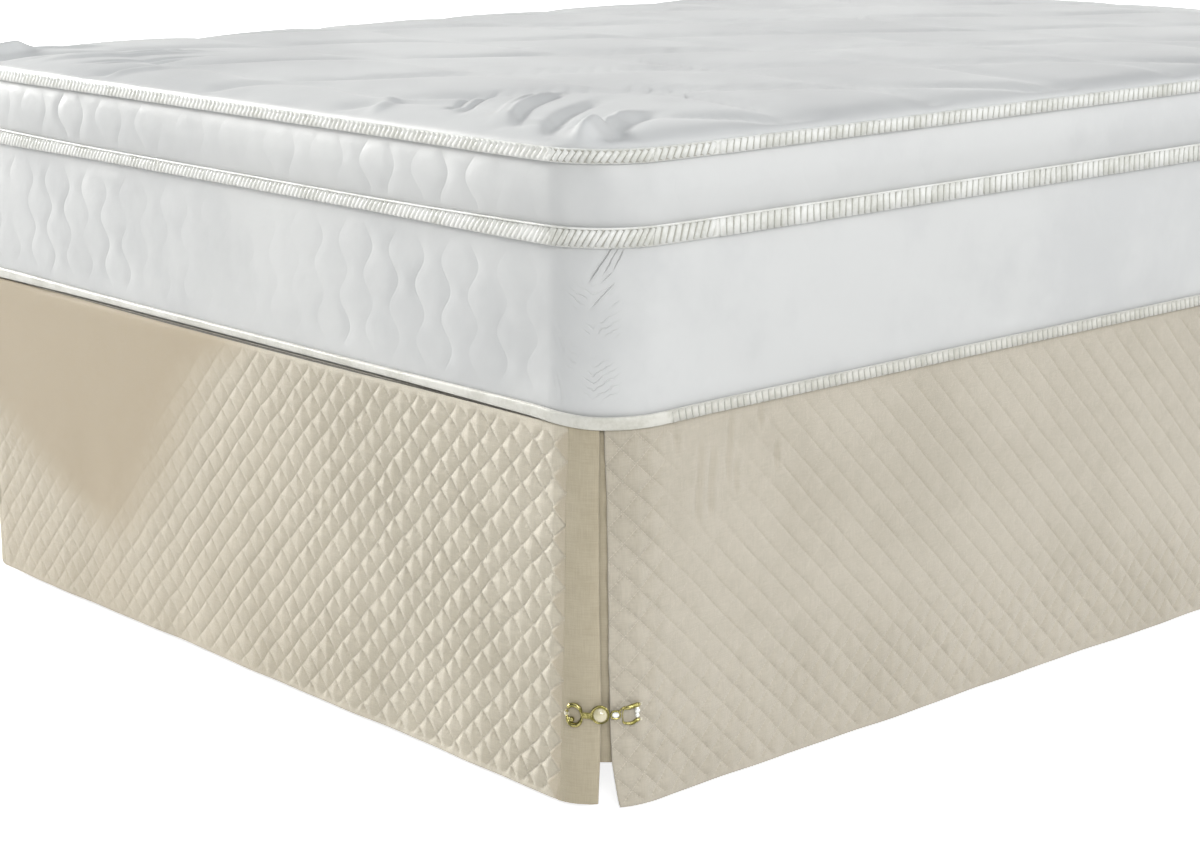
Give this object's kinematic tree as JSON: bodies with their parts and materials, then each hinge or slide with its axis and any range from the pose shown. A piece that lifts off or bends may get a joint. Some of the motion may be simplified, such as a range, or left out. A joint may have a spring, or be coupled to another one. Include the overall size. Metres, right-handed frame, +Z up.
{
  "type": "bed skirt on a bed",
  "caption": "Quilted bed skirt with plain corner bands, split foot corners and ring clasps, hung from a deck cloth between a plain box bed and its mattress.",
  "frame": {"origin": "on the floor under the middle of the bed", "axes": "+Z up, +Y along the bed towards its head, +X to the right of someone lying on their back; the foot end faces -Y"},
  "size_m": [1.389, 1.8858, 0.758],
  "materials": {
    "quilted_cloth": "quilted cotton sateen, soft sheen",
    "plain_cloth": "plain cotton, matt",
    "deck_cloth": "plain cotton, matt",
    "mattress_ticking": "quilted knitted ticking, satin",
    "mattress_tape": "ribbed binding tape",
    "base_cover": "plain woven cover",
    "leg_wood": "stained beech",
    "clasp_metal": "polished brass",
    "pearl": "pearl, soft gloss",
    "clear_stone": "bright faceted stone"
  },
  "bodies": {
    "root": {"foot_panel": "quilted_cloth", "side_panel_right": "quilted_cloth", "side_panel_left": "quilted_cloth", "foot_band_right": "plain_cloth", "foot_band_left": "plain_cloth", "corner_underlay_right": "plain_cloth", "corner_underlay_left": "plain_cloth", "deck": "deck_cloth", "bed_base": "base_cover", "bed_leg_1": "leg_wood", "bed_leg_2": "leg_wood", "bed_leg_3": "leg_wood", "bed_leg_4": "leg_wood", "bed_leg_5": "leg_wood", "bed_leg_6": "leg_wood", "mattress": "mattress_ticking", "mattress_tape_bottom": "mattress_tape", "mattress_tape_middle": "mattress_tape", "mattress_tape_top": "mattress_tape", "clasp_end_ring_right": "clasp_metal", "clasp_bar_right": "clasp_metal", "clasp_centre_ring_right": "clasp_metal", "clasp_pearl_right": "pearl", "clasp_link_right": "clasp_metal", "clasp_stone_right": "clear_stone", "clasp_square_ring_right": "clasp_metal", "clasp_end_ring_left": "clasp_metal", "clasp_bar_left": "clasp_metal", "clasp_centre_ring_left": "clasp_metal", "clasp_pearl_left": "pearl", "clasp_link_left": "clasp_metal", "clasp_stone_left": "clear_stone", "clasp_square_ring_left": "clasp_metal"}
  },
  "joints": []
}
